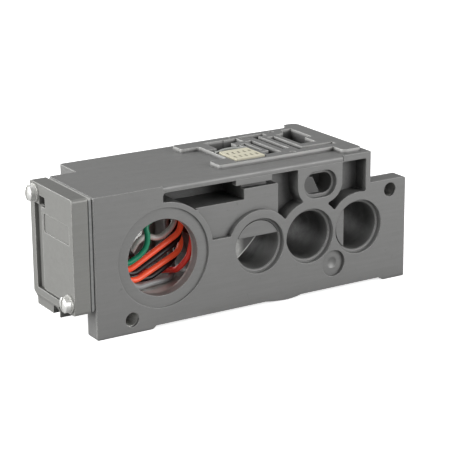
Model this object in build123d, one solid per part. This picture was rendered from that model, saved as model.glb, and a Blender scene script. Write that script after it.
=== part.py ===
from build123d import *
import os
import math

# One station of a pneumatic valve island: a die-cast manifold block with a
# machined valve pad, three gallery bores, a wiring compartment closed by a
# screwed end cover, and the internal loom up to the valve connector.
# Block frame while modelling: x along the joint face, y back from the joint
# face, z up from the feet. At the end everything is shifted so that the row's
# origin is the middle of the bounding box's base.

# ---------------------------------------------------------------- dimensions
# joint plate (front) and its rear twin
plate_l = 160.0          # length of the joint plates
plate_t = 8.2            # thickness of the joint plates
block_h = 62.4           # feet to block top
depth = 57.4             # station pitch, joint face to joint face
tab_x = 140.3            # block body ends, right tab starts
tab_h = 47.8             # top of the right tab
foot_l = 27.7            # length of the left foot
foot_r = 147.0           # start of the right foot
lobe_x0, lobe_x1 = 84.0, 102.8   # shallow lobe under the plates
relief = 1.5             # gap under the plates between the feet
edge_r = 1.2             # outer corner radius of the plates

# narrow end that carries the cover
narrow_x = 13.1          # length of the narrow end
narrow_y = 41.6          # depth of the narrow end
narrow_z = 12.6          # underside of the narrow end, front part
drop_y = 17.5            # the rear part of the narrow end drops lower
drop_z = 7.0

# galleries
bore_r = 11.1
bore_z = 28.0
bore_x = [81.1, 107.5, 133.9]
cb_r = 12.6              # seal recess around each gallery
cb_d = 1.9
bore_cs = 0.5            # chamfer at the mouth of each gallery
boss_r = 16.4            # cast ring around each gallery
rib_x = 150.3            # right end of the gallery housing

# wireway
ww_x, ww_z = 32.9, 31.0
ww_r = 17.0
ww_cb_r = 22.0
ww_cb_d = 0.9
ww_boss_r = 24.4
ww_wall = 6.0            # joint plate left standing around the wireway

# wiring compartment behind the wireway
room_x = 55.5
room_y0, room_y1 = 6.0, 49.5
room_z0, room_z1 = 14.6, 47.4
mouth_y0, mouth_y1 = 8.9, 35.5
mouth_z0, mouth_z1 = 21.2, 46.0
duct_y0, duct_y1 = 23.0, 39.0
duct_z0, duct_z1 = 43.4, 57.0
drop_x = 64.5

# oval pilot slot
ov_x, ov_z = 112.95, 51.2
ov_r, ov_half = 4.7, 2.65
ov_cb = 6.2
ov_boss = 9.2
ov_d = 12.0
ov_ledge = 4.6           # depth of the lighter ledge in the slot's lower left

# cast pockets of the joint face
pk_top = 59.5
pkA_x0, pkA_x1, pkA_z0, pkA_d = 33.0, 74.6, 49.6, 20.0
web_x1, web_top, web_d = 92.1, 54.4, 2.5
tongue_x0, tongue_x1, tongue_z = 69.0, 87.3, 57.1
pkB_d = 8.0
pkC_x1, pkC_z0, pkC_d = 137.8, 44.2, 8.0
dish_x, dish_z, dish_r, dish_d = 120.4, 12.9, 6.1, 1.5

# tie holes
tie_r = 3.25
tieL_x, tieL_z = 17.0, 6.3
tieR_x, tieR_z = 151.3, 42.8
tie_pad = 4.2            # thickening behind the right tie hole
tie_tap_r = 2.55         # tapped twin in the rear tab

# valve pad on the top
pad_z = 64.3
pad_x0, pad_x1 = 66.8, 137.3
pad_y0, pad_y1 = 10.2, 51.8
notch_x, notch_y0, notch_y1 = 76.0, 19.0, 43.2
ear_xf, ear_xr = 126.8, 129.2   # front and rear ear of the pad
ear_y0, ear_y1 = 2.6, 57.0
slot_d = 9.0

# cylinder ports in the right end
port_r, port_d, port_z = 5.7, 9.5, 54.2
port_y = [20.8, 41.0]
port_cs = 0.8

# end cover
gsk_t = 2.1
cov_face = 9.6           # outer face of the cover, from the block's end
cov_y0, cov_y1 = 0.3, 39.9
cov_z0, cov_z1 = 12.6, 63.0
cov_wall = 2.6
ext_face = 8.0
ext_y0, ext_z0 = 17.8, 6.8
scr_up = (35.0, 58.4)
scr_lo = (4.9, 17.2)
scr_r = 1.95
scr_head_r = 3.4
scr_head_h = 2.4
scr_dome = 0.9
wsh_r, wsh_t = 4.0, 0.8
slot_w, slot_deep = 1.2, 1.5

# wires: outside radius, largest bend radius, wire ends in the two plugs
wire_r = 1.28
wire_bend = 9.0
pin_x = [79.2, 82.0, 84.8, 87.6, 90.4]
pin_y = [17.0, 23.2]
pin_z = 57.8
lower_z, upper_z = 46.0, 50.7

# harness plug in the mouth of the compartment
plug_x0, plug_x1 = 2.5, 11.1
plug_y0, plug_y1 = 26.0, 35.0
plug_z0, plug_z1 = 23.5, 43.7
sock_x = [4.6, 9.0]
sock_z = [25.6, 29.6, 33.6, 37.6, 41.6]
sock_y = 28.0

# valve connector
con_x0, con_x1, con_y0, con_y1 = 77.4, 92.2, 12.8, 28.4
con_z0 = 56.0
con_top = 64.9


# ------------------------------------------------------------------- helpers
def blk(x0, x1, y0, y1, z0, z1):
    return Pos((x0 + x1) / 2, (y0 + y1) / 2, (z0 + z1) / 2) * Box(
        x1 - x0, y1 - y0, z1 - z0
    )


def xz(face, y0, y1):
    """A sketch drawn in x and z, made solid from y0 back to y1."""
    return extrude(Plane.XZ.offset(-y0) * face, amount=-(y1 - y0))


def xy(face, z0, z1):
    return extrude(Plane.XY.offset(z0) * face, amount=z1 - z0)


def yz(face, x0, x1):
    """A sketch drawn in y and z, made solid from x0 to x1."""
    return extrude(Plane.YZ.offset(x0) * face, amount=x1 - x0)


def ycyl(x, z, r, y0, y1):
    return xz(Pos(x, z) * Circle(r), y0, y1)


def rect(x0, x1, z0, z1):
    return Pos((x0 + x1) / 2, (z0 + z1) / 2) * Rectangle(x1 - x0, z1 - z0)


def rrect(x0, x1, z0, z1, r):
    return Pos((x0 + x1) / 2, (z0 + z1) / 2) * RectangleRounded(x1 - x0, z1 - z0, r)


def disc(x, z, r):
    return Pos(x, z) * Circle(r)


def oval(r):
    return (
        Pos(ov_x, ov_z) * Rectangle(2 * ov_half, 2 * r)
        + disc(ov_x - ov_half, ov_z, r)
        + disc(ov_x + ov_half, ov_z, r)
    )


def poly(pts):
    return make_face(Polyline(*pts, close=True))


def soften(sk, r):
    """Rounds every corner of a sketch that has room for it."""
    out = sk
    for f in [r, r * 0.6, r * 0.3]:
        try:
            out = fillet(sk.vertices(), f)
            return out
        except Exception:
            continue
    return out


# ------------------------------------------------------------ block castings
def plate_outline(x0):
    pts = [
        (x0, 0.0 if x0 < foot_l else relief),
        (foot_l - 1.0, 0.0),
        (foot_l + 0.8, relief),
        (lobe_x0, relief),
        (87.4, 1.0),
        (91.5, 0.62),
        (95.3, 0.45),
        (98.6, 0.68),
        (100.9, 1.05),
        (lobe_x1, relief),
        (foot_r - 1.4, relief),
        (foot_r + 1.2, 0.0),
        (plate_l, 0.0),
        (plate_l, tab_h),
        (tab_x, tab_h),
        (tab_x, block_h),
        (x0, block_h),
    ]
    f = poly(pts)
    vs = f.vertices()
    outer = [
        v
        for v in vs
        if (abs(v.X - plate_l) < 0.01 and v.Y > 5) or (abs(v.X - x0) < 0.01 and v.Y < 5)
    ]
    f = fillet(outer, edge_r)
    low = [v for v in f.vertices() if abs(v.X - plate_l) < 0.01 and v.Y < 5]
    return fillet(low, edge_r * 0.5)


front = xz(plate_outline(0.0), 0.0, plate_t)
rear = xz(plate_outline(narrow_x), depth - plate_t, depth)

# body between the plates
body_prof = (
    rect(narrow_x, tab_x, relief + 1.0, block_h)
    + rect(tab_x - 10, rib_x, relief + 1.0, bore_z)
    + disc(bore_x[2], bore_z, boss_r)
)
body = xz(body_prof, plate_t, depth - plate_t)
narrow = blk(0, narrow_x + 2, plate_t - 1, narrow_y, narrow_z, block_h)
narrow = narrow + blk(0, narrow_x + 2, drop_y, narrow_y, drop_z, narrow_z + 2)
tiepad = blk(146.2, 156.4, plate_t - 1, plate_t + tie_pad, 36.6, 46.3)
block = front + rear + body + narrow + tiepad

# soft vertical corner of the narrow end and of the step behind it
corner = (
    block.edges()
    .filter_by(Axis.Z)
    .filter_by(lambda e: abs(e.center().Y - narrow_y) < 0.05 and e.center().X < 1)
)
block = fillet(corner, 1.5)
back_v = (
    block.edges()
    .filter_by(Axis.Z)
    .filter_by(
        lambda e: abs(e.center().Y - depth) < 0.05
        and (abs(e.center().X - narrow_x) < 0.1 or abs(e.center().X - tab_x) < 0.1)
        and e.length > 10
    )
)
block = fillet(back_v, 1.0)

# raised valve pad
pad_face = (
    rect(pad_x0, pad_x1, pad_y0, pad_y1)
    - rect(pad_x0 - 1, notch_x, notch_y0, notch_y1)
    + rrect(ear_xf, pad_x1, ear_y0, 34.0, 2.6)
    + rrect(ear_xr, pad_x1, 30.0, ear_y1, 3.4)
    + poly([(ear_xr - 1.6, pad_y1 - 0.2), (ear_xr + 0.4, pad_y1 + 1.9), (ear_xr + 4, 40), (ear_xr - 1.6, 40)])
)
left_pts = [v for v in pad_face.vertices() if v.X < notch_x + 0.1]
pad_face = fillet(left_pts, 1.7)
block = block + xy(pad_face, block_h - 1.0, pad_z)

# front top edge of the beam: shallow step and rounding
beam_cut = blk(33.0, 125.5, -1, 0.3, 59.9, block_h + 1)
block = block - beam_cut
top_front = (
    block.edges()
    .filter_by(Axis.X)
    .filter_by(
        lambda e: abs(e.center().Z - block_h) < 0.05
        and abs(e.center().Y - 0.3) < 0.05
        and e.length > 50
    )
)
block = fillet(top_front, 1.6)

# ------------------------------------------------- pockets of the joint face
ring2 = disc(bore_x[0], bore_z, boss_r)
ring3 = disc(bore_x[1], bore_z, boss_r)
ring4 = disc(bore_x[2], bore_z, boss_r)

# long pocket under the beam
pa = rrect(pkA_x0, pkA_x1, pkA_z0 - 4, pk_top, 1.6) - disc(ww_x, ww_z, ww_boss_r)
pa = pa - rect(pkA_x0 - 1, pkA_x1 + 1, pkA_z0 - 6, pkA_z0)
pocket_a = xz(pa, -1, pkA_d) - blk(tongue_x0, tongue_x1, -2, 3.2, tongue_z, pk_top + 2)

# recessed web between the wireway ring and the first gallery ring
web = rect(50.0, web_x1, 34.8, web_top) - disc(ww_x, ww_z, ww_boss_r) - ring2
web_cut = xz(web, -1, web_d)

# gap above the web, behind the tongue
gap = blk(tongue_x0 - 1, web_x1 + 2, -1, 5.0, web_top, pk_top) - blk(
    tongue_x0, tongue_x1, -2, 3.2, tongue_z, pk_top + 2
)
gap = gap - blk(tongue_x0 - 3, tongue_x0, -2, 12, tongue_z - 6, tongue_z)

# pocket between the first two rings
pb = (
    rect(tongue_x1, 106.0, 36.0, pk_top)
    - rect(tongue_x1 - 1, web_x1, 30.0, web_top)
    - ring2
    - ring3
    - oval(ov_boss)
    - rect(ov_x - ov_half - ov_boss, 110, ov_z, 70)
)
pb_faces = sorted(pb.faces(), key=lambda f: -f.area)
pocket_b = xz(pb_faces[0], -1, pkB_d)

# pocket over the third ring
pc = (
    rect(110.0, pkC_x1, 36.0, pk_top)
    - ring3
    - ring4
    - oval(ov_boss)
    - rect(108, ov_x + ov_half + ov_boss, ov_z, 70)
    - rect(bore_x[2], 150, 30, pkC_z0)
)
pc_faces = sorted(pc.faces(), key=lambda f: -f.area)
pocket_c = xz(pc_faces[0], -1, pkC_d)


def round_walls(cutter, r):
    """Rounds the upright inner corners of a pocket cutter."""
    es = cutter.edges().filter_by(Axis.Y)
    for rr in (r, r * 0.5):
        try:
            return fillet(es, rr)
        except Exception:
            continue
    done = cutter
    return done


pocket_b = round_walls(pocket_b, 0.8)
pocket_c = round_walls(pocket_c, 0.8)
block = block - pocket_a - web_cut - gap - pocket_b - pocket_c

# seal recess of the oval slot, the slot, and the blind dish with its dimple
slot_cut = xz(oval(ov_r), 0, ov_d)
ledge = poly([(ov_x - 9, ov_z - 7), (ov_x + 3.4, ov_z - 7), (ov_x - 1.2, ov_z + 2.4), (ov_x - 9, ov_z + 4.4)])
slot_cut = slot_cut - xz(ledge, ov_ledge, ov_d + 1)
block = block - xz(oval(ov_cb), -1, cb_d) - slot_cut
block = block - ycyl(dish_x, dish_z, dish_r, -1, dish_d)
dimple_r = 5.2
block = block - Pos(dish_x, dish_d - dimple_r + 0.7, dish_z) * Sphere(dimple_r)

# galleries: the first has a shelf across its upper part, the third a flat
for i, bx in enumerate(bore_x):
    cut = ycyl(bx, bore_z, cb_r, -1, cb_d) + ycyl(bx, bore_z, bore_r, 0, depth + 1)
    if i == 0:
        cut = cut - blk(bx - 13, bx + 13, cb_d, 15.0, bore_z + 4.3, bore_z + 13)
        lip = ycyl(bx - 44.8, bore_z + 46.0, 68.1, 12.5, 15.0)
        cut = cut - (lip & ycyl(bx, bore_z, bore_r + 1.0, 12.5, 15.0))
    if i == 2:
        cut = cut - blk(bx - 13, bx - 6.9, cb_d, 7.5, bore_z - 12, bore_z + 12)
    mouth_cs = Pos(bx, cb_d + bore_cs / 2, bore_z) * Rot(-90, 0, 0) * Cone(
        bore_r + bore_cs, bore_r, bore_cs
    )
    block = block - cut - (mouth_cs - ycyl(bx, bore_z, bore_r - 0.01, -1, cb_d + 2))

# wireway ring, wiring compartment, duct up to the connector well
block = block - ycyl(ww_x, ww_z, ww_cb_r, -1, ww_cb_d)
block = block - ycyl(ww_x, ww_z, ww_r, 0, depth + 1)
room = xz(rrect(narrow_x + 2.2, room_x, room_z0, room_z1, 3.0), ww_wall, room_y1)
mouth = blk(-1, narrow_x + 6, mouth_y0, mouth_y1, mouth_z0, mouth_z1)
mouth = fillet(mouth.edges().filter_by(Axis.X), 2.5)
duct = blk(44.0, con_x1 + 2.5, duct_y0, duct_y1, duct_z0, duct_z1)
duct_drop = blk(40.0, drop_x, pkA_d + 0.6, duct_y1, 33.0, duct_z1 - 3)
duct_low = blk(40.0, drop_x, ww_wall + 5.0, duct_y1, 33.0, 47.9)
block = block - room - mouth - duct - duct_drop - duct_low

# ------------------------------------------------------- pockets of the pad
slots = [
    # connector well, open to the duct below
    (xy(rect(con_x0 - 0.8, con_x1 + 0.6, con_y0 - 0.6, 36.0), duct_z0, pad_z + 1)),
    (xy(rect(81.0, 91.5, 34.0, 47.6), 50.0, pad_z + 1)),
    (xy(rect(91.0, 98.2, 40.6, 47.2), pad_z - 5.0, pad_z + 1)),
    # channel along the back edge, turning forward
    (xy(rect(100.2, 113.2, 44.4, 48.4), pad_z - slot_d, pad_z + 1)),
    (xy(rect(105.4, 108.7, 19.0, 46.0), pad_z - slot_d, pad_z + 1)),
    # straight slot with a foot to the left
    (xy(rect(98.6, 102.3, 16.0, 40.0), pad_z - slot_d, pad_z + 1)),
    (xy(rect(94.6, 102.3, 15.4, 20.4), pad_z - slot_d, pad_z + 1)),
    # shallow slot beside the connector well
    (xy(rect(94.2, 96.8, 22.8, 37.0), pad_z - 3.5, pad_z + 1)),
    # long slot that runs forward and turns right along the front rim
    (xy(rect(111.2, 114.9, 14.4, 41.0), pad_z - slot_d, pad_z + 1)),
    (xy(rect(111.2, 131.3, 14.4, 17.8), pad_z - slot_d, pad_z + 1)),
]
for s in slots:
    block = block - s
well = (
    rect(117.4, 129.4, 22.4, 49.0)
    - rect(125.6, 131.0, 20.0, 31.2)
    - disc(118.3, 48.6, 5.6)
)
well_faces = sorted(well.faces(), key=lambda f: -f.area)
well_s = xy(well_faces[0], 50.6, pad_z + 1)
block = block - well_s
# passages from the pad down to the second and third gallery
block = block - blk(105.6, 108.5, 24.0, 40.0, 36.0, 56.0)
block = block - blk(124.2, 128.8, 33.0, 44.0, 36.0, 52.0)
# tapped valve-screw holes
valve_holes = [(95.3, 50.2), (118.3, 48.6), (106.4, 12.4)]
valve_hole_r, valve_hole_d = 1.25, 9.0
for hx, hy in valve_holes:
    block = block - Pos(hx, hy, pad_z - valve_hole_d / 2 + 0.5) * Cylinder(
        valve_hole_r, valve_hole_d + 1.0
    )

# ------------------------------------------------------------ tie holes, ports
block = block - ycyl(tieL_x, tieL_z, tie_r, -1, depth + 1)
block = block - ycyl(tieR_x, tieR_z, tie_r, -1, plate_t + tie_pad + 1)
block = block - ycyl(tieR_x, tieR_z, tie_tap_r, depth - plate_t - 1, depth + 1)
for py in port_y:
    block = block - Pos(tab_x - port_d / 2 + 0.5, py, port_z) * Rot(0, 90, 0) * Cylinder(
        port_r, port_d + 1.0
    )
    block = block - Pos(tab_x - port_cs / 2, py, port_z) * Rot(0, 90, 0) * Cone(
        port_r, port_r + port_cs, port_cs
    )
block = block - blk(128.0, 131.6, 15.0, 17.6, 52.0, 57.0)
block = block - blk(127.0, 131.5, 39.0, 43.0, 52.5, 56.0)

# threads of the two cover screws in the block's end
shank = 9.0
for sy, sz in (scr_up, scr_lo):
    block = block - Pos(shank / 2, sy, sz) * Rot(0, 90, 0) * Cylinder(scr_r, shank)

# broken edges round the end face of the casting
end_rim = (
    block.edges()
    .filter_by(lambda e: abs(e.center().X) < 0.02 and e.length > 20)
    .filter_by(lambda e: e.center().Z > 61 or e.center().Y < 0.05)
)
try:
    block = chamfer(end_rim, 0.4)
except Exception:
    print("block: end rim left sharp")

# cable notch under the cover's rear part
notch_y, notch_z, notch_r = 21.6, 8.2, 3.0
block = block - Pos(2.5, notch_y, notch_z) * Rot(0, 90, 0) * Cylinder(notch_r, 5.0)

# ------------------------------------------------------------------ end cover
def xcyl(y, z, r, x0, x1):
    return Pos((x0 + x1) / 2, y, z) * Rot(0, 90, 0) * Cylinder(r, x1 - x0)


cover = yz(rrect(cov_y0, cov_y1, cov_z0, cov_z1, 1.5), -cov_face, -gsk_t)
ext = xz(
    poly(
        [
            (-cov_face, 14.8),
            (-cov_face, 13.6),
            (-ext_face, 9.8),
            (-ext_face, ext_z0),
            (-gsk_t, ext_z0),
            (-gsk_t, 14.8),
        ]
    ),
    ext_y0,
    cov_y1,
)
cover = cover + ext
rim = (
    cover.edges()
    .filter_by(lambda e: abs(e.center().X + cov_face) < 0.02)
    .filter_by(lambda e: e.center().Z > 15)
)
for rr in (0.8, 0.5, 0.3):
    try:
        cover = fillet(rim, rr)
        break
    except Exception:
        continue
inner_rim = (
    cover.edges()
    .filter_by(lambda e: abs(e.center().X + gsk_t) < 0.02 and e.length > 18)
)
try:
    cover = chamfer(inner_rim, 0.35)
except Exception:
    print("cover: inner rim left sharp")
# hollow inside, with a full-height boss round each screw
hollow = rrect(cov_y0 + cov_wall, cov_y1 - cov_wall, 15.3, 60.2, 1.5)
hollow = hollow - disc(*scr_up, 5.5) - disc(*scr_lo, 5.5)
cover = cover - yz(hollow, -6.2, -gsk_t + 1)
# grooves of the outer face, small pocket by the upper screw, blank name panel
cover = cover - yz(rrect(29.0, 35.8, 15.8, 54.0, 0.5), -cov_face - 1, -cov_face + 1.8)
cover = cover - yz(rect(12.0, 30.0, 15.8, 16.9), -cov_face - 1, -cov_face + 0.8)
cover = cover - yz(rrect(25.5, 31.0, 53.6, 58.0, 0.6), -cov_face - 1, -cov_face + 2.5)
cover = cover - yz(rrect(3.5, 27.0, 42.8, 51.0, 0.8), -cov_face - 1, -cov_face + 0.35)
for sy, sz in (scr_up, scr_lo):
    cover = cover - xcyl(sy, sz, 2.15, -cov_face - 1, 0)
cable_notch = yz(
    disc(notch_y, notch_z, notch_r)
    + rect(notch_y - notch_r, notch_y + notch_r, notch_z - 4, notch_z),
    -cov_face - 1,
    0,
)
cover = cover - cable_notch

# gasket between cover and block
gsk = rrect(cov_y0 + 0.35, cov_y1 - 0.4, cov_z0 + 0.35, 62.1, 1.2)
gsk = gsk + rect(ext_y0 + 0.4, cov_y1 - 0.4, ext_z0 + 0.4, cov_z0 + 2)
gsk = gsk - rrect(mouth_y0, mouth_y1, mouth_z0, mouth_z1, 2.5)
gsk = gsk - disc(*scr_up, 2.2) - disc(*scr_lo, 2.2)
gasket = yz(gsk, -gsk_t, 0) - cable_notch


# ------------------------------------------------------- cover screws, washers
def cover_screw(sy, sz):
    hx = -cov_face - wsh_t
    r_sph = (scr_head_r**2 + scr_dome**2) / (2 * scr_dome)
    head = xcyl(sy, sz, scr_head_r, hx - scr_head_h - scr_dome, hx)
    head = head & (Pos(hx - scr_head_h - scr_dome + r_sph, sy, sz) * Sphere(r_sph))
    slot = blk(
        hx - scr_head_h - scr_dome - 1,
        hx - scr_head_h - scr_dome + slot_deep,
        sy - slot_w / 2,
        sy + slot_w / 2,
        sz - 5,
        sz + 5,
    )
    return head + xcyl(sy, sz, scr_r - 0.05, hx - 0.5, 8.6) - slot


def cover_washer(sy, sz):
    return xcyl(sy, sz, wsh_r, -cov_face - wsh_t, -cov_face) - xcyl(
        sy, sz, 2.15, -cov_face - 2, 0
    )


# ------------------------------------------------------------ valve connector
con = blk(con_x0, con_x1, con_y0, con_y1, con_z0, con_top)
con = fillet(con.edges().filter_by(Axis.Z), 0.8)
con = con + blk(con_x0 - 0.8, con_x1 + 0.6, con_y0 - 0.6, con_y1, 57.0, 59.5)
contacts = None
for px in pin_x:
    for py in pin_y:
        con = con - Pos(px, py, 61.9) * Box(1.1, 2.6, 7.0)
        con = con - Pos(px, py, 56.9) * Cylinder(wire_r + 0.05, 2.0)
        blade = blk(px - 0.35, px + 0.35, py - 0.9, py + 0.9, 57.9, 63.6)
        con = con - blade
        contacts = blade if contacts is None else contacts + blade
# curved guard behind the connector, bowed to the rear, with an end tab each side
mid_x = (con_x0 + con_x1) / 2
guard = disc(mid_x, 22.94, 9.66) - disc(mid_x, 22.94, 8.16) - rect(mid_x - 12, mid_x + 12, 5, con_y1 + 0.5)
guard = guard + rect(con_x0 - 0.8, con_x0 + 1.4, con_y1 + 0.5, con_y1 + 2.0)
guard = guard + rect(con_x1 - 1.4, con_x1 + 0.6, con_y1 + 0.5, con_y1 + 2.0)
bracket = xy(guard, 52.6, con_top)

# --------------------------------------------------------------- harness plug
plug = xy(rect(plug_x0, plug_x1, plug_y0, plug_y1), plug_z0, plug_z1)
plug = fillet(plug.edges().filter_by(Axis.X), 1.5)
plug = plug + blk(plug_x0 + 2, plug_x1 - 2, plug_y1 - 0.5, mouth_y1, 28.0, 39.0)
for px in sock_x:
    for pz in sock_z:
        plug = plug - ycyl(px, pz, wire_r + 0.12, plug_y0 - 1, sock_y + 0.5)

# ---------------------------------------------------------------------- wires
routes = {
    "wire_red_1": [
        (79.2, 17, pin_z),
        (79.2, 17, 46.1),
        (79.2, 25, 46),
        (64, 25, 46.2),
        (53.9, 20.68, 42.09),
        (49.2, 15, 35.9),
        (22.39, 12.88, 23.62),
        (14.24, 15.39, 24.49),
        (9, 20.8, 25.6),
        (9, sock_y, 25.6),
    ],
    "wire_red_2": [
        (84.8, 17, pin_z),
        (84.8, 17, 46.1),
        (84.8, 30.6, 46),
        (64, 30.6, 46.2),
        (53.9, 27.6, 36.6),
        (52.2, 17.6, 27.2),
        (24.36, 12.54, 18.06),
        (14.61, 12.1, 24.1),
        (7.36, 13.98, 24.84),
        (4.6, 20.8, 25.6),
        (4.6, sock_y, 25.6),
    ],
    "wire_red_3": [
        (79.2, 23.2, pin_z),
        (79.2, 23.2, 50.8),
        (79.2, 28, 50.7),
        (62, 28, 50.7),
        (53.6, 19.99, 46),
        (53, 12, 40.8),
        (52.3, 9.2, 34),
        (50, 9, 26.21),
        (45.39, 10.38, 20.62),
        (45.83, 18.95, 18.13),
        (38.99, 24.24, 17.25),
        (28.6, 23.4, 18.4),
        (19.71, 21.21, 22.21),
        (13.26, 20.24, 31.26),
        (9, 20.8, 33.6),
        (9, sock_y, 33.6),
    ],
    "wire_black_1": [
        (82, 17, pin_z),
        (82, 17, 46.1),
        (82, 27.8, 46),
        (64, 27.8, 46.2),
        (53.9, 25.16, 38.96),
        (50.82, 17.41, 31.88),
        (25.02, 15.61, 20.03),
        (18.73, 16.68, 25.49),
        (10.64, 16.58, 28.79),
        (4.6, 20.8, 29.6),
        (4.6, sock_y, 29.6),
    ],
    "wire_black_2": [
        (87.6, 17, pin_z),
        (87.6, 17, 46.1),
        (87.6, 33.4, 46),
        (64, 33.4, 46.2),
        (53.9, 30.6, 34.71),
        (51.98, 22.61, 23.67),
        (44.96, 17.94, 21.25),
        (34.99, 16.2, 17.43),
        (26.6, 16.81, 17.29),
        (18.59, 17.76, 21.33),
        (13.03, 19.45, 27.25),
        (9, 20.8, 29.6),
        (9, sock_y, 29.6),
    ],
    "wire_black_3": [
        (87.6, 23.2, pin_z),
        (87.6, 23.2, 50.8),
        (87.6, 37.1, 50.7),
        (62, 37.1, 50.7),
        (53.54, 30.84, 45.38),
        (49.35, 18.4, 34.95),
        (38.4, 19.2, 27.6),
        (29.64, 17.51, 25.17),
        (25.31, 15.11, 29.11),
        (21.41, 14.36, 34.39),
        (15, 14.4, 38.4),
        (10.2, 17, 41),
        (9, 20.8, 41.6),
        (9, sock_y, 41.6),
    ],
    "wire_grey": [
        (90.4, 17, pin_z),
        (90.4, 17, 46.1),
        (90.4, 36.2, 46),
        (64, 36.2, 46.2),
        (53.03, 33.8, 38.79),
        (51.87, 30.45, 27.89),
        (49.3, 21.27, 16.05),
        (42.63, 13.43, 16.05),
        (32, 12.3, 16.1),
        (23.99, 9.86, 16.09),
        (18.1, 9.43, 23.25),
        (10.59, 12.1, 30.36),
        (4.6, 20.8, 33.6),
        (4.6, sock_y, 33.6),
    ],
    "wire_white": [
        (82, 23.2, pin_z),
        (82, 23.2, 50.8),
        (82, 31, 50.7),
        (62, 31, 50.7),
        (53.9, 23.86, 44.59),
        (47.39, 18.31, 37.6),
        (40.6, 17.9, 33.6),
        (34.2, 18, 36),
        (29.58, 17.96, 34.22),
        (26.89, 18.09, 29.69),
        (19.36, 17.3, 28.43),
        (12.6, 17.6, 34.2),
        (9, 20.8, 37.6),
        (9, sock_y, 37.6),
    ],
    "wire_green": [
        (84.8, 23.2, pin_z),
        (84.8, 23.2, 50.8),
        (84.8, 34, 50.7),
        (62, 34, 50.7),
        (52.34, 26.93, 46),
        (46.6, 18, 45.6),
        (37.2, 14.6, 44.8),
        (31, 12.9, 42.8),
        (31.9, 12.1, 37.6),
        (30.8, 11.8, 32.8),
        (26.8, 11.6, 29.6),
        (20.43, 11.41, 26.82),
        (13.42, 13.01, 31.28),
        (7.78, 15.04, 35.83),
        (4.6, 20.8, 37.6),
        (4.6, sock_y, 37.6),
    ],
}


def wire(name, pts):
    vs = [Vector(*p) for p in pts]
    radii = []
    for a, b, c in zip(vs, vs[1:], vs[2:]):
        turn = math.radians((b - a).get_angle(c - b))
        short = min((b - a).length, (c - b).length)
        radii.append(round(min(wire_bend, 0.45 * short / math.tan(turn / 2)), 2))
    path = FilletPolyline(*vs, radius=radii)
    t = (vs[1] - vs[0]).normalized()
    side = Vector(1, 0, 0) if abs(t.X) < 0.9 else Vector(0, 1, 0)
    tube = sweep(Plane(origin=vs[0], x_dir=side, z_dir=t) * Circle(wire_r), path=path)
    want = math.pi * wire_r**2 * path.length
    print(
        f"{name}: length {path.length:.1f}, radii {radii}, "
        f"volume {tube.volume:.1f} against {want:.1f}"
    )
    return tube


NODES = {
    "manifold_block": block,
    "end_cover": cover,
    "cover_gasket": gasket,
    "cover_screw_upper": cover_screw(*scr_up),
    "cover_screw_lower": cover_screw(*scr_lo),
    "cover_washer_upper": cover_washer(*scr_up),
    "cover_washer_lower": cover_washer(*scr_lo),
    "valve_connector": con,
    "connector_contacts": contacts,
    "connector_bracket": bracket,
    "harness_plug": plug,
}
for wname, pts in routes.items():
    NODES[wname] = wire(wname, pts)

# origin: middle of the bounding box's base
x_left = -cov_face - wsh_t - scr_head_h - scr_dome
shift = Pos(-(x_left + plate_l) / 2, -depth / 2, 0)


def main():
    os.makedirs("parts", exist_ok=True)
    lo, hi = [1e9] * 3, [-1e9] * 3
    for name, shp in NODES.items():
        out = shift * shp
        b = out.bounding_box()
        for i, (p, q) in enumerate(zip(tuple(b.min), tuple(b.max))):
            lo[i], hi[i] = min(lo[i], p), max(hi[i], q)
        print(name, "solids", len(out.solids()), "volume", round(out.volume, 1))
        export_step(out, f"parts/{name}.step")
    print("bounds", lo, hi)


main()
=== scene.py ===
import bpy
import bmesh
import math
from mathutils import Matrix, Vector


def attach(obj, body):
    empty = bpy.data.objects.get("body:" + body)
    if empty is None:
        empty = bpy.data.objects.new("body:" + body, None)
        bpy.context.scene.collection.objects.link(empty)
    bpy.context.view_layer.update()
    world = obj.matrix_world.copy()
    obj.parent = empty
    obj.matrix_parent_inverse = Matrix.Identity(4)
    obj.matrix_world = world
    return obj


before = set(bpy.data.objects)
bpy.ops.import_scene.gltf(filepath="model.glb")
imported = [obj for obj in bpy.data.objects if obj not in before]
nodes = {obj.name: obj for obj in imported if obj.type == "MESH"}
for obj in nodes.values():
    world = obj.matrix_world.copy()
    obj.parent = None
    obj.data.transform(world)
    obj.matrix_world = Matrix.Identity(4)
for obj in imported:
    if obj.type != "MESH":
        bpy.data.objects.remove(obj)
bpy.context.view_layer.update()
scene = bpy.context.scene
MM = 0.001
# brightness of the studio
FLOOR_GLOW, WORLD_SEEN, WORLD_LIGHT = 0.75, 1.0, 0.34
KEY, FILL, TOP, BACK = 16.8, 11.0, 2.0, 3.2
# the block frame used for the construction, as an offset in the row frame
BX, BY = 73.15, 28.7


def at(x, y, z):
    return Vector(((x - BX) * MM, (y - BY) * MM, z * MM))


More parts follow.
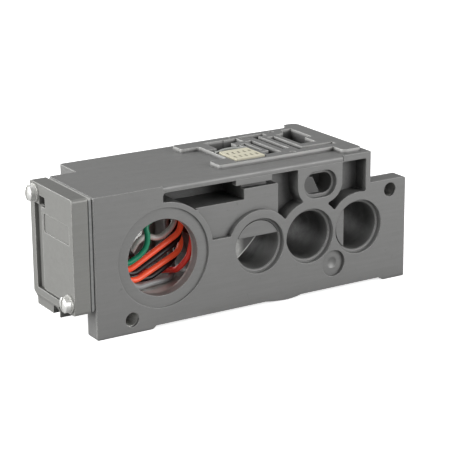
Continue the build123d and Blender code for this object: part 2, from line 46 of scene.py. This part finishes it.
# ------------------------------------------------------------------ materials
class Graph:
    """A few shorthands for building node materials."""

    def __init__(self, name):
        self.mat = bpy.data.materials.new(name)
        self.mat.use_nodes = True
        self.nt = self.mat.node_tree
        self.bsdf = next(n for n in self.nt.nodes if n.type == "BSDF_PRINCIPLED")
        self.out = next(n for n in self.nt.nodes if n.type == "OUTPUT_MATERIAL")
        self.coord = self.new("ShaderNodeTexCoord").outputs["Object"]

    def new(self, kind, **props):
        n = self.nt.nodes.new(kind)
        for k, v in props.items():
            setattr(n, k, v)
        return n

    def link(self, a, b):
        self.nt.links.new(a, b)

    def noise(self, scale, detail=4.0, rough=0.55, vec=None, dist=0.0):
        n = self.new("ShaderNodeTexNoise")
        n.inputs["Scale"].default_value = scale
        n.inputs["Detail"].default_value = detail
        n.inputs["Roughness"].default_value = rough
        n.inputs["Distortion"].default_value = dist
        self.link(vec or self.coord, n.inputs["Vector"])
        return n.outputs["Fac"]

    def voronoi(self, scale, vec=None):
        n = self.new("ShaderNodeTexVoronoi")
        n.inputs["Scale"].default_value = scale
        self.link(vec or self.coord, n.inputs["Vector"])
        return n.outputs["Distance"]

    def stretch(self, sx, sy, sz):
        n = self.new("ShaderNodeMapping")
        n.inputs["Scale"].default_value = (sx, sy, sz)
        self.link(self.coord, n.inputs["Vector"])
        return n.outputs["Vector"]

    def ramp(self, fac, stops):
        n = self.new("ShaderNodeValToRGB")
        r = n.color_ramp
        while len(r.elements) > 1:
            r.elements.remove(r.elements[-1])
        r.elements[0].position, c = stops[0]
        r.elements[0].color = (*c, 1) if len(c) == 3 else c
        for p, c in stops[1:]:
            e = r.elements.new(p)
            e.color = (*c, 1) if len(c) == 3 else c
        self.link(fac, n.inputs["Fac"])
        return n.outputs["Color"]

    def remap(self, fac, a, b, c, d, clamp=True):
        n = self.new("ShaderNodeMapRange")
        n.clamp = clamp
        for i, v in enumerate((a, b, c, d)):
            n.inputs[i + 1].default_value = v
        self.link(fac, n.inputs[0])
        return n.outputs[0]

    def math(self, op, a, b=0.0):
        n = self.new("ShaderNodeMath", operation=op)
        for i, v in enumerate((a, b)):
            if isinstance(v, (int, float)):
                n.inputs[i].default_value = v
            else:
                self.link(v, n.inputs[i])
        return n.outputs[0]

    def mix(self, fac, a, b, mode="MIX"):
        n = self.new("ShaderNodeMix", data_type="RGBA", blend_type=mode)
        for sock, v in ((n.inputs[0], fac), (n.inputs[6], a), (n.inputs[7], b)):
            if isinstance(v, (int, float)):
                sock.default_value = v
            elif isinstance(v, tuple):
                sock.default_value = (*v, 1) if len(v) == 3 else v
            else:
                self.link(v, sock)
        return n.outputs[2]

    def ao(self, distance, samples=6):
        n = self.new("ShaderNodeAmbientOcclusion", samples=samples)
        n.inputs["Distance"].default_value = distance
        return n.outputs["AO"]

    def edge(self, radius, lo=0.02, hi=0.25):
        """1 near convex and concave edges, 0 on flat faces."""
        bev = self.new("ShaderNodeBevel", samples=4)
        bev.inputs["Radius"].default_value = radius
        geo = self.new("ShaderNodeNewGeometry")
        dot = self.new("ShaderNodeVectorMath", operation="DOT_PRODUCT")
        self.link(bev.outputs[0], dot.inputs[0])
        self.link(geo.outputs["True Normal"], dot.inputs[1])
        return self.remap(dot.outputs["Value"], 1.0 - lo, 1.0 - hi, 0.0, 1.0)

    def normal_z(self):
        geo = self.new("ShaderNodeNewGeometry")
        sep = self.new("ShaderNodeSeparateXYZ")
        self.link(geo.outputs["True Normal"], sep.inputs[0])
        return sep.outputs

    def bump(self, height, strength, distance, normal=None):
        n = self.new("ShaderNodeBump")
        n.inputs["Strength"].default_value = strength
        n.inputs["Distance"].default_value = distance
        self.link(height, n.inputs["Height"])
        if normal is not None:
            self.link(normal, n.inputs["Normal"])
        return n.outputs["Normal"]

    def set(self, name, v):
        if isinstance(v, (int, float)):
            self.bsdf.inputs[name].default_value = v
        elif isinstance(v, tuple):
            self.bsdf.inputs[name].default_value = (*v, 1) if len(v) == 3 else v
        else:
            self.link(v, self.bsdf.inputs[name])


def s2l(*c):
    return tuple((v / 255 / 12.92) if v <= 10 else ((v / 255 + 0.055) / 1.055) ** 2.4 for v in c)


def cast_metal(name, base, wear_and_highlight, rough, grain=1.0, top_shade=0.0, body=False):
    """Fine-grained die casting: mottled skin, bright edges that are partly worn metal and partly painted
    highlight, painted shade in corners and cavities, optional painted shade on top faces.
    """
    g = Graph(name)
    big = g.noise(14.0, 3.0, 0.6)
    mid = g.noise(150.0, 5.0, 0.65)
    fine = g.noise(2400.0, 3.0, 0.7)
    brushed = g.noise(700.0, 3.0, 0.6, vec=g.stretch(0.06, 0.6, 1.0))
    tone = g.mix(g.remap(big, 0.32, 0.68, 0.0, 1.0), base, tuple(v * 0.93 for v in base))
    tone = g.mix(g.remap(mid, 0.35, 0.75, 0.0, 0.30), tone, tuple(v * 0.86 for v in base))
    tone = g.mix(g.remap(fine, 0.35, 0.7, 0.0, 0.20), tone, tuple(min(1, v * 1.14) for v in base))
    tone = g.mix(g.remap(brushed, 0.35, 0.7, 0.0, 0.30), tone, tuple(min(1, v * 1.18) for v in base))
    spots = g.remap(g.noise(320.0, 2.0, 0.5), 0.70, 0.76, 0.0, 0.35)
    tone = g.mix(spots, tone, tuple(v * 0.62 for v in base))
    # painted shade: short-range AO darkens concave corners and creases
    near = g.ao(0.0020, 8)
    tone = g.mix(g.remap(near, 0.30, 0.95, 0.22, 0.0), tone, tuple(v * 0.30 for v in base))
    # painted shade: deep AO darkens cavities and recesses, broken up by a cloudy noise
    deep = g.ao(0.016, 8)
    cloud = g.noise(95.0, 4.0, 0.65, dist=0.6)
    painted_cavity_shade = g.math("MULTIPLY", g.remap(deep, 0.16, 0.64, 0.90, 0.0), g.remap(cloud, 0.38, 0.66, 1.0, 0.72))
    if body:
        sep = g.new("ShaderNodeSeparateXYZ")
        g.link(g.coord, sep.inputs[0])
        px, py, pz = sep.outputs
        # the wire compartment is open, so its painted shade is taken out; painted shade darkens the far
        # galleries inside
        low = g.math("MULTIPLY", g.remap(px, (48.0 - BX) * MM, (56.0 - BX) * MM, 0.90, 0.0), g.remap(pz, 48.0 * MM, 49.5 * MM, 1.0, 0.0))
        painted_cavity_shade = g.math("MULTIPLY", painted_cavity_shade, g.math("SUBTRACT", 1.0, low))
        for gx, gz, gr, start in ((81.1, 28.0, 11.9, 8.0), (107.5, 28.0, 11.9, 2.2), (133.9, 28.0, 11.9, 2.2), (151.3, 42.8, 3.8, 0.2)):
            dx = g.math("SUBTRACT", px, (gx - BX) * MM)
            dz = g.math("SUBTRACT", pz, gz * MM)
            d = g.math("SQRT", g.math("ADD", g.math("MULTIPLY", dx, dx), g.math("MULTIPLY", dz, dz)))
            inside = g.remap(d, (gr - 0.3) * MM, gr * MM, 1.0, 0.0)
            front = g.remap(py, (start - BY) * MM, (start + 7.0 - BY) * MM, 0.0, 1.0)
            rear = g.remap(py, (53.0 - BY) * MM, (56.0 - BY) * MM, 1.0, 0.0)
            gallery_shade = g.math("MULTIPLY", g.math("MULTIPLY", inside, front), rear)
            gallery_shade = g.math("MULTIPLY", gallery_shade, g.remap(cloud, 0.38, 0.66, 0.80, 0.46))
            painted_cavity_shade = g.math("MAXIMUM", painted_cavity_shade, gallery_shade)

        def within(v, lo, hi, off, soft=1.0):
            up = g.remap(v, (lo - off) * MM, (lo + soft - off) * MM, 0.0, 1.0)
            down = g.remap(v, (hi - soft - off) * MM, (hi - off) * MM, 1.0, 0.0)
            return g.math("MULTIPLY", up, down)

        # the painted shade in the pilot slot is evened out: darker on its lit ledge, lighter beside it
        slot = g.math("MULTIPLY", g.math("MULTIPLY", within(px, 102.0, 124.0, BX), within(pz, 43.5, 58.5, 0.0)), within(py, 3.2, 16.0, BY))
        painted_cavity_shade = g.mix(slot, painted_cavity_shade, g.remap(painted_cavity_shade, 0.0, 0.86, 0.54, 0.34))
        # painted light on the walls of the wire compartment; the lip of the first gallery is lighter machined
        # metal with a painted highlight
        compartment_light = g.math("MULTIPLY", g.math("MULTIPLY", within(px, 2.5, 56.0, BX, 3.0), within(pz, 3.5, 49.5, 0.0)), within(py, 4.5, 54.5, BY, 1.5))
        tone = g.mix(g.math("MULTIPLY", compartment_light, g.remap(cloud, 0.38, 0.66, 0.85, 0.55)), tone, wear_and_highlight)
        # lighter machined metal under the first gallery's shelf with a painted highlight; it also lifts the
        # painted shade there
        dx = g.math("SUBTRACT", px, (81.1 - BX) * MM)
        dz = g.math("SUBTRACT", pz, 28.0 * MM)
        d = g.math("SQRT", g.math("ADD", g.math("MULTIPLY", dx, dx), g.math("MULTIPLY", dz, dz)))
        lip_metal_and_highlight = g.math("MULTIPLY", g.remap(d, 11.6 * MM, 11.9 * MM, 1.0, 0.0), within(py, 9.5, 15.6, BY, 0.5))
        lip_metal_and_highlight = g.math("MULTIPLY", lip_metal_and_highlight, g.remap(pz, 31.5 * MM, 32.2 * MM, 1.0, 0.0))
        lip_metal_and_highlight = g.math("MULTIPLY", lip_metal_and_highlight, g.remap(px, (77.6 - BX) * MM, (80.6 - BX) * MM, 1.0, 0.0))
        tone = g.mix(g.math("MULTIPLY", lip_metal_and_highlight, g.remap(cloud, 0.40, 0.62, 0.80, 0.25)), tone, wear_and_highlight)
        # painted highlight: a crisp bright line along the arc of the gallery lip, which also clears the painted
        # shade there
        ex = g.math("SUBTRACT", px, (36.3 - BX) * MM)
        ez = g.math("SUBTRACT", pz, 74.0 * MM)
        arc = g.math("SUBTRACT", g.math("SQRT", g.math("ADD", g.math("MULTIPLY", ex, ex), g.math("MULTIPLY", ez, ez))), 68.1 * MM)
        lip_edge_highlight = g.remap(g.math("ABSOLUTE", arc), 0.30 * MM, 0.75 * MM, 1.0, 0.0)
        lip_edge_highlight = g.math("MULTIPLY", lip_edge_highlight, g.math("MULTIPLY", g.remap(d, 11.6 * MM, 11.9 * MM, 1.0, 0.0), within(py, 11.6, 15.6, BY, 0.4)))
        lip_edge_highlight = g.math("MULTIPLY", lip_edge_highlight, g.remap(pz, 31.5 * MM, 32.2 * MM, 1.0, 0.0))
        tone = g.mix(g.math("MULTIPLY", lip_edge_highlight, g.remap(mid, 0.35, 0.6, 0.65, 1.0)), tone, (0.88, 0.88, 0.86))
        painted_cavity_shade = g.math("MULTIPLY", painted_cavity_shade, g.math("SUBTRACT", 1.0, lip_edge_highlight))
        painted_cavity_shade = g.math("MULTIPLY", painted_cavity_shade, g.remap(lip_metal_and_highlight, 0.0, 1.0, 1.0, 0.15))
    # the painted cavity shade is mixed into the colour here
    tone = g.mix(painted_cavity_shade, tone, tuple(v * 0.12 for v in base))
    if body:
        # painted highlight on the machined flanks of the valve pad
        nz = g.math("ABSOLUTE", g.normal_z()[2])
        pad_flank_highlight = g.math("MULTIPLY", g.remap(pz, 62.9 * MM, 63.4 * MM, 0.0, 1.0), g.remap(nz, 0.25, 0.6, 1.0, 0.0))
        pad_flank_highlight = g.math("MULTIPLY", pad_flank_highlight, g.remap(near, 0.35, 0.8, 0.0, 0.42))
        tone = g.mix(pad_flank_highlight, tone, wear_and_highlight)
    # painted shade: faces pointing up are darkened
    if top_shade:
        tone = g.mix(g.remap(g.normal_z()[2], 0.9, 0.98, 0.0, top_shade), tone, tuple(v * 0.45 for v in base))
    # bright edges: partly worn metal, partly painted highlight, weaker on faces turned to the front
    edge = g.edge(0.0008)
    outward = g.remap(near, 0.80, 1.0, 0.0, 1.0)
    facing = g.remap(g.normal_z()[1], -1.0, -0.9, 0.14, 1.0)
    edge_wear_and_highlight = g.math("MULTIPLY", g.math("MULTIPLY", edge, outward), g.remap(mid, 0.3, 0.6, 0.45, 1.0))
    edge_wear_and_highlight = g.math("MULTIPLY", edge_wear_and_highlight, facing)
    tone = g.mix(g.math("MULTIPLY", edge_wear_and_highlight, 0.85), tone, wear_and_highlight)
    g.set("Base Color", tone)
    g.set("Metallic", 0.30)
    g.set("Roughness", g.remap(mid, 0.3, 0.7, rough - 0.05, rough + 0.08))
    g.set("Specular IOR Level", 0.4)
    bev = g.new("ShaderNodeBevel", samples=6)
    bev.inputs["Radius"].default_value = 0.00042
    h = g.math("ADD", g.math("MULTIPLY", fine, 0.35), g.math("MULTIPLY", mid, 0.65))
    g.set("Normal", g.bump(h, 0.30 * grain, 0.0002, bev.outputs[0]))
    return g.mat


def bright_plate(name, base, rough, metallic=1.0):
    g = Graph(name)
    turned = g.noise(900.0, 2.0, 0.5, vec=g.stretch(0.15, 1.0, 1.0))
    blotch = g.noise(260.0, 4.0, 0.6)
    # painted shade: short-range AO darkens the corners of the plated part
    near = g.ao(0.0012, 6)
    tone = g.mix(g.remap(blotch, 0.35, 0.7, 0.0, 0.3), base, tuple(v * 0.8 for v in base))
    g.set("Base Color", g.mix(g.remap(near, 0.25, 0.8, 0.8, 0.0), tone, tuple(v * 0.2 for v in base)))
    g.set("Metallic", metallic)
    g.set("Roughness", g.remap(turned, 0.3, 0.7, rough, rough + 0.1))
    bev = g.new("ShaderNodeBevel", samples=6)
    bev.inputs["Radius"].default_value = 0.0003
    g.set("Normal", g.bump(turned, 0.12, 0.00008, bev.outputs[0]))
    return g.mat


def plastic(name, base, rough, vary=0.12, bump=0.12, sss=0.0, spec=0.5):
    g = Graph(name)
    n1 = g.noise(120.0, 4.0, 0.6)
    n2 = g.noise(1500.0, 3.0, 0.6)
    c = g.mix(g.remap(n1, 0.3, 0.7, 0.0, 1.0), base, tuple(v * (1 - vary) for v in base))
    # painted shade: AO darkens the corners and creases of the moulding
    ao = g.remap(g.ao(0.004), 0.25, 0.9, 0.35, 1.0)
    c = g.mix(ao, tuple(v * 0.25 for v in base), c)
    g.set("Base Color", c)
    g.set("Roughness", g.remap(n1, 0.3, 0.7, rough - 0.05, rough + 0.07))
    g.set("Specular IOR Level", spec)
    bev = g.new("ShaderNodeBevel", samples=4)
    bev.inputs["Radius"].default_value = 0.00025
    g.set("Normal", g.bump(n2, bump, 0.0001, bev.outputs[0]))
    return g.mat


def gasket_sheet(name):
    """Grey sheet with painted shade where it dives between the two castings and a painted highlight on its top.
    """
    g = Graph(name)
    n1 = g.noise(500.0, 4.0, 0.6)
    sep = g.new("ShaderNodeSeparateXYZ")
    g.link(g.coord, sep.inputs[0])
    mid = (-BX - 1.05) * MM
    off = g.math("ABSOLUTE", g.math("SUBTRACT", sep.outputs[0], mid))
    # painted shade at the two borders where the sheet dives between the castings
    gap_shade = g.remap(off, 0.00045, 0.00075, 0.0, 1.0)
    body = g.mix(g.remap(n1, 0.3, 0.7, 0.0, 1.0), s2l(150, 151, 150), s2l(132, 133, 132))
    # painted highlight on the top face of the sheet
    up = g.remap(g.normal_z()[2], 0.5, 0.9, 0.0, 1.0)
    body = g.mix(up, body, s2l(205, 205, 202))
    gap_shade = g.math("MULTIPLY", gap_shade, g.remap(up, 0.0, 1.0, 1.0, 0.35))
    g.set("Base Color", g.mix(gap_shade, body, s2l(38, 38, 38)))
    g.set("Roughness", g.remap(n1, 0.3, 0.7, 0.55, 0.7))
    g.set("Normal", g.bump(n1, 0.12, 0.0001))
    return g.mat


def insulation(name, base, rough=0.36, painted_glow=0.0):
    g = Graph(name)
    n1 = g.noise(240.0, 4.0, 0.6)
    n2 = g.noise(2200.0, 2.0, 0.6)
    c = g.mix(g.remap(n1, 0.3, 0.7, 0.0, 1.0), base, tuple(v * 0.86 for v in base))
    g.set("Base Color", c)
    g.set("Roughness", g.remap(n1, 0.3, 0.7, rough - 0.06, rough + 0.08))
    if painted_glow:
        # painted light: the jacket glows by emission, as if light passed through the thin translucent jacket
        g.set("Emission Color", c)
        g.set("Emission Strength", painted_glow)
    g.set("Normal", g.bump(g.math("ADD", n1, n2), 0.10, 0.0001))
    return g.mat


m_block = cast_metal("cast_block", s2l(133, 133, 132), s2l(222, 222, 219), 0.46, top_shade=0.10, body=True)
m_cover = cast_metal("cast_cover", s2l(140, 140, 137), s2l(232, 232, 228), 0.42, top_shade=0.46)
m_gasket = gasket_sheet("gasket_sheet")
m_screw = bright_plate("nickel_screw", s2l(240, 240, 237), 0.30, 0.62)
m_washer = bright_plate("nickel_washer", s2l(228, 228, 224), 0.32, 0.62)
m_thread = bright_plate("cut_thread", s2l(190, 190, 186), 0.30, 0.85)
# a darker copy of the thread metal: painted shade for the thread in the tab hole
m_thread_shaded = bright_plate("cut_thread_shaded", s2l(120, 120, 117), 0.34, 0.85)
m_cream = plastic("cream_nylon", s2l(226, 221, 198), 0.42, vary=0.08)
m_contact = bright_plate("tinned_contact", s2l(205, 196, 170), 0.25)
m_bracket = plastic("grey_moulding", s2l(176, 178, 174), 0.45)
m_plug = plastic("plug_nylon", s2l(216, 216, 208), 0.45)
wire_mats = {
    "wire_red_1": insulation("pvc_red", s2l(255, 90, 56), painted_glow=0.16),
    "wire_red_2": insulation("pvc_red_b", s2l(255, 96, 60), painted_glow=0.16),
    # a darker red with weaker emission: painted shade for the wire lying in shadow
    "wire_red_3": insulation("pvc_red_shaded", s2l(236, 64, 52), painted_glow=0.08),
    "wire_black_1": insulation("pvc_black", s2l(30, 29, 31)),
    "wire_black_2": insulation("pvc_black_b", s2l(34, 32, 34)),
    "wire_black_3": insulation("pvc_black_c", s2l(30, 30, 31)),
    "wire_grey": insulation("pvc_grey", s2l(156, 158, 158)),
    "wire_white": insulation("pvc_white", s2l(236, 234, 230)),
    "wire_green": insulation("pvc_green", s2l(16, 142, 104)),
}
node_mats = {
    "manifold_block": m_block,
    "end_cover": m_cover,
    "cover_gasket": m_gasket,
    "cover_screw_upper": m_screw,
    "cover_screw_lower": m_screw,
    "cover_washer_upper": m_washer,
    "cover_washer_lower": m_washer,
    "valve_connector": m_cream,
    "connector_contacts": m_contact,
    "connector_bracket": m_bracket,
    "harness_plug": m_plug,
}
node_mats.update(wire_mats)
for name, ob in nodes.items():
    ob.data.materials.clear()
    ob.data.materials.append(node_mats.get(name, m_block))

# ------------------------------------------------------- cut turns, tie holes
def turned_grooves(name, x, z, r_wall, r_in, y0, y1, pitch, mat):
    """A helical ridge on the wall of a hole that runs along Y."""
    seg = 28
    n = int((y1 - y0 - pitch) / pitch * seg)
    prof = ((r_wall + 0.06, -0.46), (r_in, -0.10), (r_in, 0.10), (r_wall + 0.06, 0.46))
    verts, faces = [], []
    for i in range(n + 1):
        a = 2 * math.pi * i / seg
        yc = y0 + pitch / 2 + pitch * i / seg
        for r, t in prof:
            verts.append(tuple(at(x + r * math.cos(a), yc + t * pitch, z + r * math.sin(a))))
    for i in range(n):
        for k in range(4):
            p, q = 4 * i + k, 4 * i + (k + 1) % 4
            faces.append((p, q, q + 4, p + 4))
    faces.append((3, 2, 1, 0))
    faces.append((4 * n, 4 * n + 1, 4 * n + 2, 4 * n + 3))
    me = bpy.data.meshes.new(name)
    me.from_pydata(verts, [], faces)
    me.validate()
    bm = bmesh.new()
    bm.from_mesh(me)
    bmesh.ops.recalc_face_normals(bm, faces=bm.faces)
    bm.to_mesh(me)
    bm.free()
    ob = bpy.data.objects.new(name, me)
    scene.collection.objects.link(ob)
    me.materials.append(mat)
    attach(ob, "root")
    return ob


turned_grooves("tie_hole_turns_lower", 17.0, 6.3, 3.25, 2.92, 0.5, 12.5, 1.0, m_thread)
turned_grooves("tie_hole_turns_tab", 151.3, 42.8, 3.25, 2.92, 0.5, 11.8, 1.0, m_thread_shaded)

# --------------------------------------------------------------- floor, light
bm_size = 3.0
me = bpy.data.meshes.new("floor")
me.from_pydata(
    [(-bm_size, -bm_size, 0), (bm_size, -bm_size, 0), (bm_size, bm_size, 0), (-bm_size, bm_size, 0)],
    [],
    [(0, 1, 2, 3)],
)
floor = bpy.data.objects.new("floor", me)
scene.collection.objects.link(floor)
gf = Graph("pale_floor")
fn = gf.noise(3.0, 3.0, 0.5)
lp = gf.new("ShaderNodeLightPath").outputs["Is Camera Ray"]
pale = gf.mix(gf.remap(fn, 0.3, 0.7, 0.0, 1.0), (0.93, 0.93, 0.93), (0.91, 0.91, 0.91))
gf.set("Base Color", gf.mix(lp, (0.40, 0.40, 0.40), pale))
gf.set("Roughness", 0.9)
gf.set("Specular IOR Level", 0.1)
gf.bsdf.inputs["Emission Color"].default_value = (1, 1, 1, 1)
gf.set("Emission Strength", gf.math("MULTIPLY", lp, FLOOR_GLOW))
me.materials.append(gf.mat)

world = bpy.data.worlds.new("studio")
scene.world = world
world.use_nodes = True
wt = world.node_tree
bg = wt.nodes["Background"]
bg.inputs["Color"].default_value = (1, 1, 1, 1)
bg.inputs["Strength"].default_value = WORLD_SEEN
dim = wt.nodes.new("ShaderNodeBackground")
dim.inputs["Color"].default_value = (1, 1, 1, 1)
dim.inputs["Strength"].default_value = WORLD_LIGHT
path = wt.nodes.new("ShaderNodeLightPath")
mixw = wt.nodes.new("ShaderNodeMixShader")
wo = next(n for n in wt.nodes if n.type == "OUTPUT_WORLD")
wt.links.new(path.outputs["Is Camera Ray"], mixw.inputs[0])
wt.links.new(dim.outputs[0], mixw.inputs[1])
wt.links.new(bg.outputs[0], mixw.inputs[2])
wt.links.new(mixw.outputs[0], wo.inputs["Surface"])


def area(name, loc, target, size, power, color=(1, 1, 1)):
    data = bpy.data.lights.new(name, "AREA")
    data.shape = "RECTANGLE"
    data.size, data.size_y = size
    data.energy = power
    data.color = color
    ob = bpy.data.objects.new(name, data)
    scene.collection.objects.link(ob)
    d = Vector(target) - Vector(loc)
    ob.matrix_world = Matrix.Translation(loc) @ d.to_track_quat("-Z", "Y").to_matrix().to_4x4()
    return ob


area("key_left", (-1.2, 0.05, 0.42), (0, 0, 0.03), (0.8, 0.8), KEY)
area("fill_right", (0.75, -1.0, 0.38), (0, 0, 0.03), (0.9, 0.7), FILL)
area("rear", (-0.25, 0.9, 0.22), (-0.03, 0, 0.03), (0.7, 0.5), BACK)
area("top_back", (0.15, 0.55, 1.15), (0, 0, 0.03), (1.0, 0.8), TOP)

# --------------------------------------------------------------------- camera
cam_data = bpy.data.cameras.new("camera")
cam_data.lens = 136.079
cam_data.sensor_width = 36.0
cam_data.clip_start = 0.01
cam_data.clip_end = 20.0
cam = bpy.data.objects.new("camera", cam_data)
scene.collection.objects.link(cam)
rot = Matrix(
    (
        (0.85322874, 0.16022226, -0.49631597),
        (-0.521455, 0.24521866, -0.8172836),
        (-0.00924108, 0.95613631, 0.29277631),
    )
)
cam.matrix_world = Matrix.Translation((-0.37358387, -0.62747415, 0.25508754)) @ rot.to_4x4()
scene.camera = cam
scene.view_settings.view_transform = "Standard"
scene.view_settings.look = "None"
